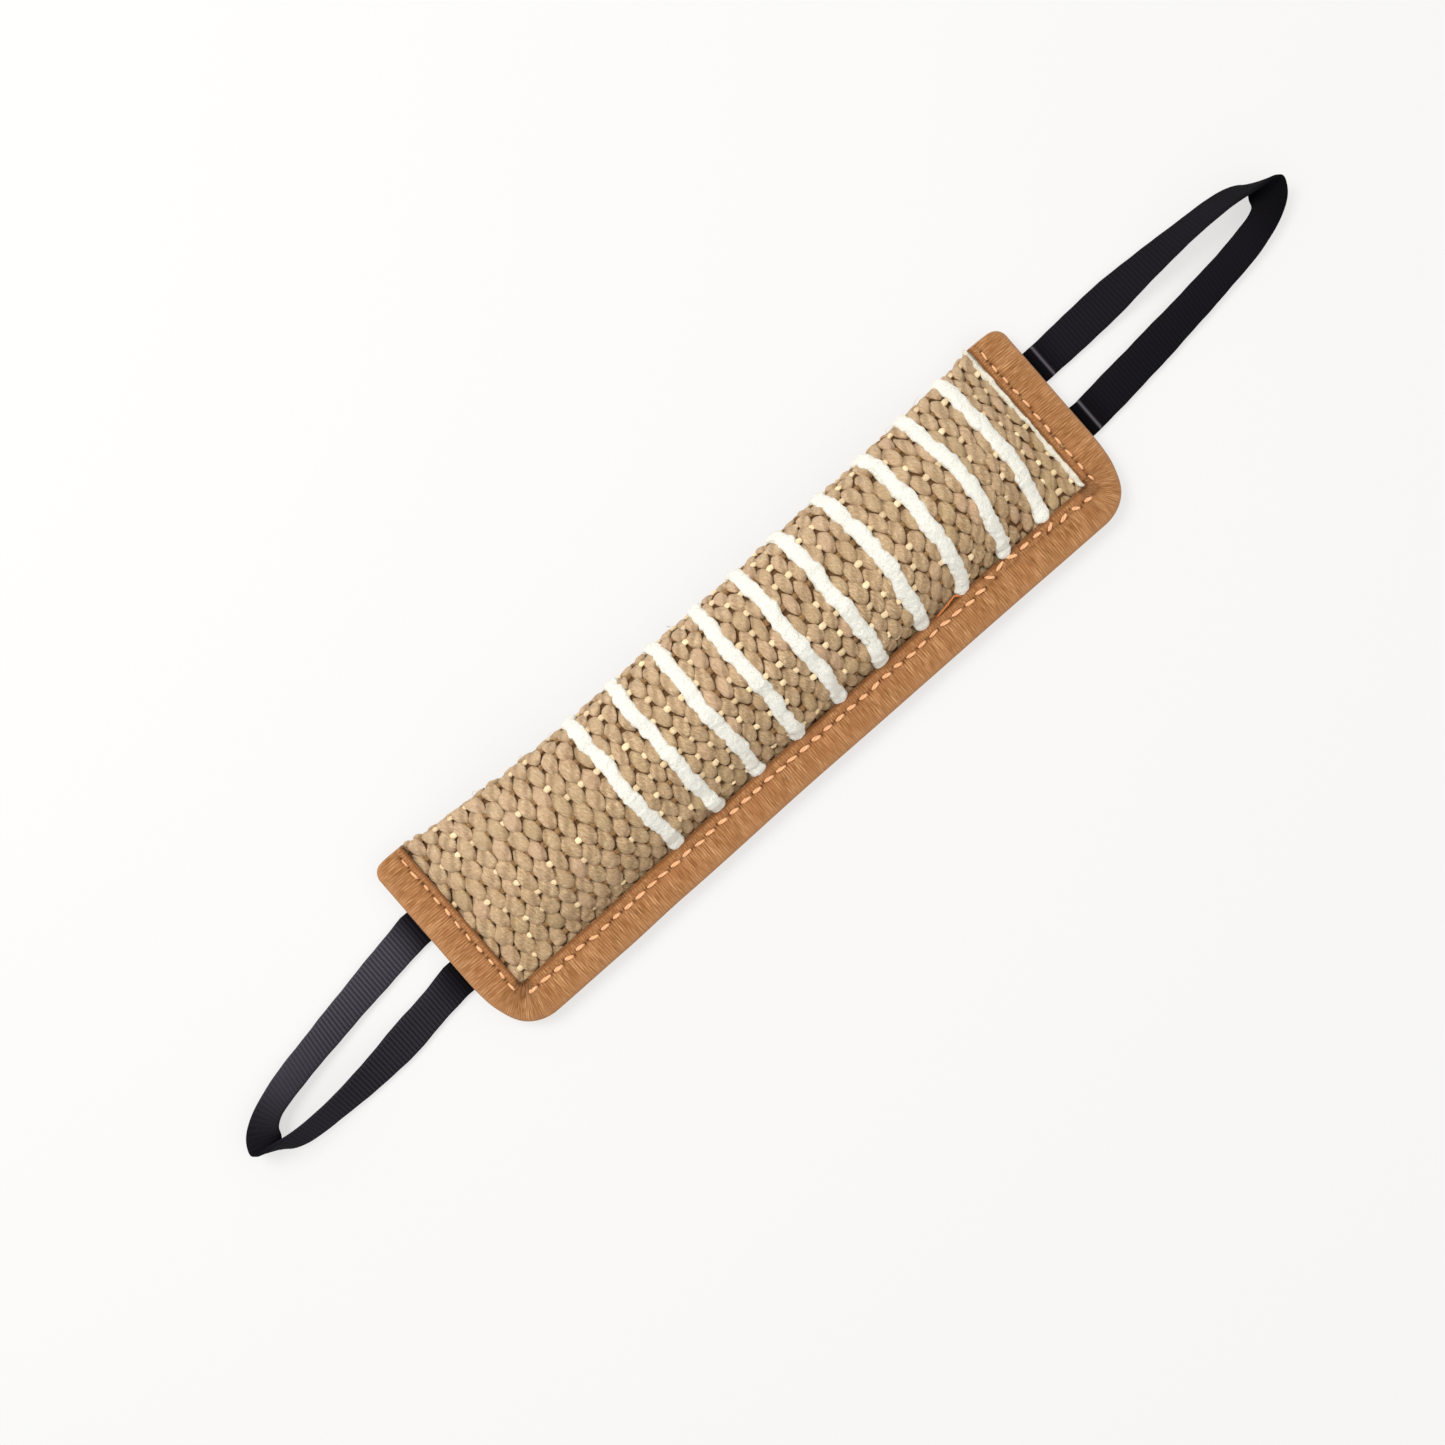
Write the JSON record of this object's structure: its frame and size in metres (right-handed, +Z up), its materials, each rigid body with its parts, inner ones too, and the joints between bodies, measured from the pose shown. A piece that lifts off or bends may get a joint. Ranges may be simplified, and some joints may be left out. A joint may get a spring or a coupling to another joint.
{
  "type": "padded jute pad with two webbing loop handles",
  "caption": "Long stuffed pad of coarse woven jute with white cords, tape-bound on three sides, and a webbing loop handle at each end.",
  "frame": {"origin": "on the resting plane under the middle of the padded length", "axes": "+X along the pad towards the longer handle, +Y towards the folded long side, +Z up from the resting plane"},
  "size_m": [0.5117, 0.0824, 0.0294],
  "materials": {
    "jute_cloth": "coarse plain weave of thick tan yarn, matt",
    "white_cord": "lumpy white cotton cord, matt",
    "binding_tape": "camel ribbed webbing tape, slight sheen",
    "seam_thread": "peach sewing thread, slight sheen",
    "webbing": "black ribbed webbing, slight sheen",
    "padding": "rolled cotton felt"
  },
  "bodies": {
    "pad": {"woven_cover": "jute_cloth", "padding_roll": "padding", "edge_binding": "binding_tape", "needle_thread": "seam_thread", "bobbin_thread": "seam_thread", "left_carrying_tail": "webbing", "left_turning_tail": "webbing", "right_carrying_tail": "webbing", "right_turning_tail": "webbing", "white_cord_01": "white_cord", "white_cord_02": "white_cord", "white_cord_03": "white_cord", "white_cord_04": "white_cord", "white_cord_05": "white_cord", "white_cord_06": "white_cord", "white_cord_07": "white_cord", "white_cord_08": "white_cord", "white_cord_09": "white_cord", "white_cord_10": "white_cord", "white_cord_11": "white_cord"},
    "left_handle": {"left_handle_loop": "webbing"},
    "right_handle": {"right_handle_loop": "webbing"}
  },
  "joints": [
    {"name": "left_handle_swing", "type": "hinge", "parent": "pad", "child": "left_handle", "pos_m": [-0.154, 0.0023, 0.0013], "axis": [0, 1, 0], "range_deg": [-120, 110]},
    {"name": "right_handle_swing", "type": "hinge", "parent": "pad", "child": "right_handle", "pos_m": [0.154, 0.0077, 0.0013], "axis": [0, -1, 0], "range_deg": [-120, 110]}
  ]
}
